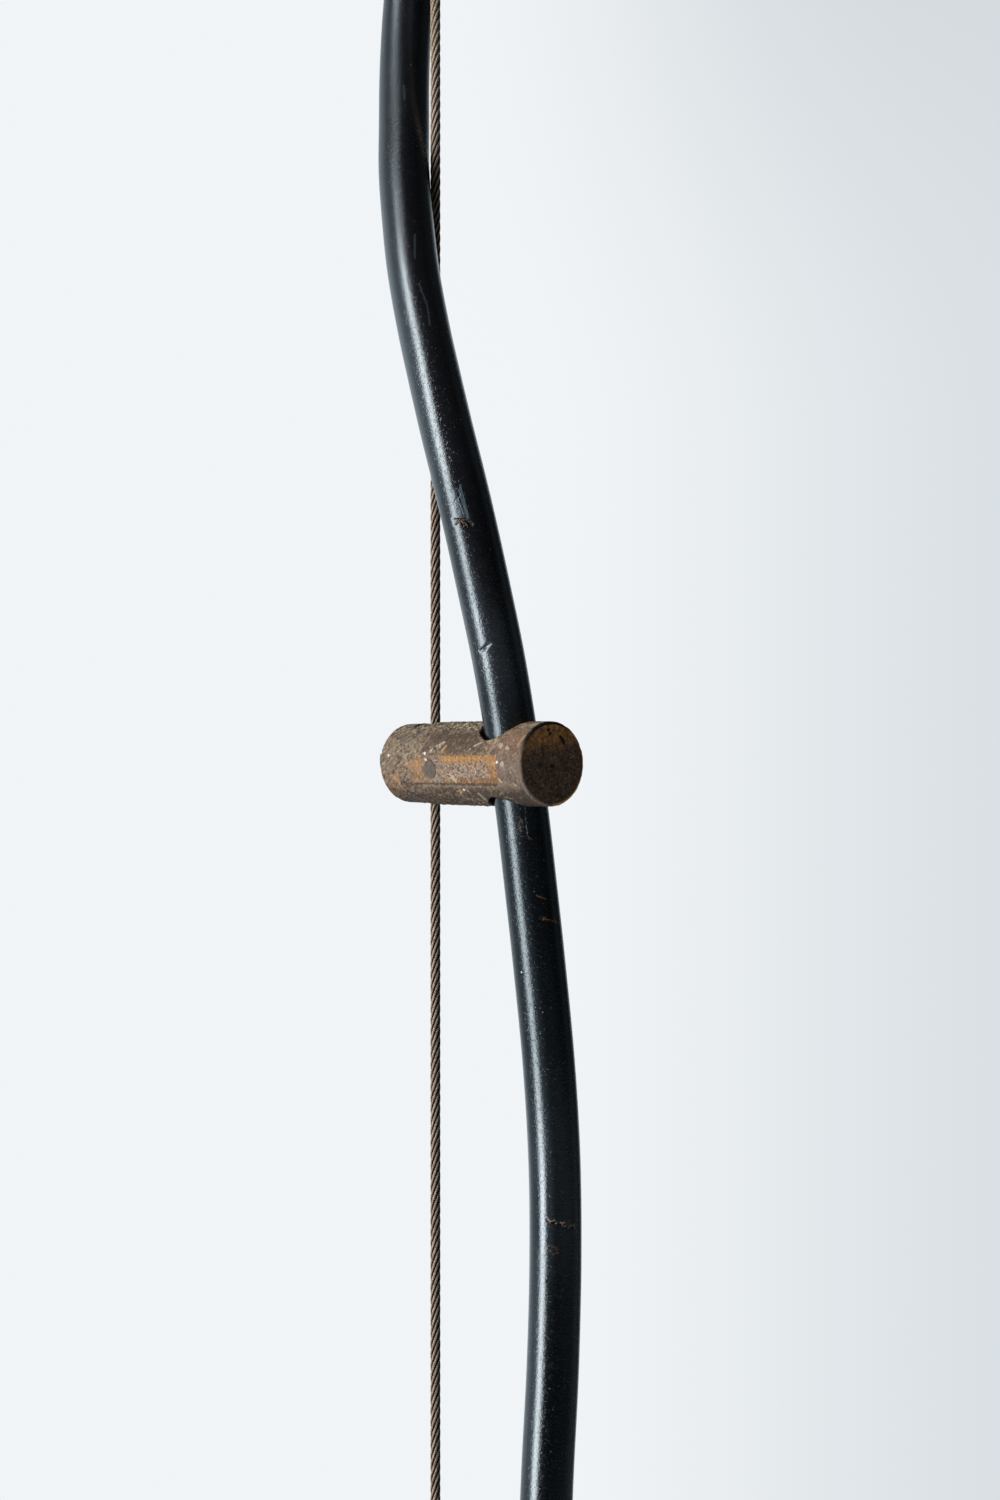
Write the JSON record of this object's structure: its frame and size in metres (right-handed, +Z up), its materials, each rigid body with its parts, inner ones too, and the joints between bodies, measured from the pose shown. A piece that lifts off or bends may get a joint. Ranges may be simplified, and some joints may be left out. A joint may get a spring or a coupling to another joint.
{
  "type": "suspension line segment",
  "caption": "Taut wire rope and heavy rubber cable between two bent wall brackets, with a clamped cross-drilled steel bar that slides on the rope and carries the cable.",
  "frame": {"origin": "centre of the top bracket's four wall holes, on the wall's plane", "axes": "+Z up along the rope, +Y into the wall, +X across the wall to the side where the bar's cable end points"},
  "size_m": [0.067, 0.0857, 0.516],
  "materials": {
    "bracket_steel": "satin grey paint, chipped at the edges",
    "rope_steel": "tarnished galvanised wire, greasy",
    "stud_steel": "dull zinc",
    "gland_brass": "dull, handled brass",
    "seal_rubber": "matt",
    "sheath_rubber": "worn, slightly glossy",
    "core_brown": "rubber insulation",
    "core_blue": "rubber insulation",
    "core_striped": "rubber insulation, green and yellow stripes",
    "copper_wire": "tinned copper strands",
    "collar_plastic": "moulded",
    "crimp_tin": "tinned, crimped",
    "bar_steel": "weathered, rusty, speckled",
    "pin_steel": "dark, smooth",
    "clamp_steel": "blued, worn"
  },
  "bodies": {
    "line": {"top_bracket": "bracket_steel", "bottom_bracket": "bracket_steel", "wire_rope": "rope_steel", "top_stud": "stud_steel", "bottom_stud": "stud_steel", "stud_washers": "stud_steel", "tension_nuts": "stud_steel", "lock_nuts": "stud_steel", "top_gland_body": "gland_brass", "top_gland_seal": "seal_rubber", "top_gland_cap": "gland_brass", "top_gland_nut": "gland_brass", "bottom_gland_body": "gland_brass", "bottom_gland_seal": "seal_rubber", "bottom_gland_cap": "gland_brass", "bottom_gland_nut": "gland_brass", "cable_sheath": "sheath_rubber", "core_brown": "core_brown", "core_blue": "core_blue", "core_striped": "core_striped", "conductors": "copper_wire", "ferrule_collars": "collar_plastic", "ferrule_sleeves": "crimp_tin"},
    "carrier": {"carrier_bar": "bar_steel", "flush_pin": "pin_steel"},
    "pad": {"clamp_pad": "clamp_steel"},
    "screw": {"clamp_screw": "clamp_steel"}
  },
  "joints": [
    {"name": "carrier_slide", "type": "slide", "parent": "line", "child": "carrier", "axis": [0, 0, 1], "range_m": [-0.02, 0.02], "deforming": ["cable_sheath", "core_brown", "core_blue", "core_striped", "conductors"]},
    {"name": "pad_travel", "type": "slide", "parent": "carrier", "child": "pad", "axis": [-0.6293, 0.7771, 0], "range_m": [0, 0.0016]},
    {"name": "clamp_screw_turn", "type": "hinge", "parent": "pad", "child": "screw", "pos_m": [-0.00285, -0.03777, -0.2385], "axis": [-0.6293, 0.7771, 0], "range_deg": [0, 720]}
  ],
  "couplings": [
    {"joint": "clamp_screw_turn", "follows": "pad_travel", "rad_per_m": 7854}
  ]
}
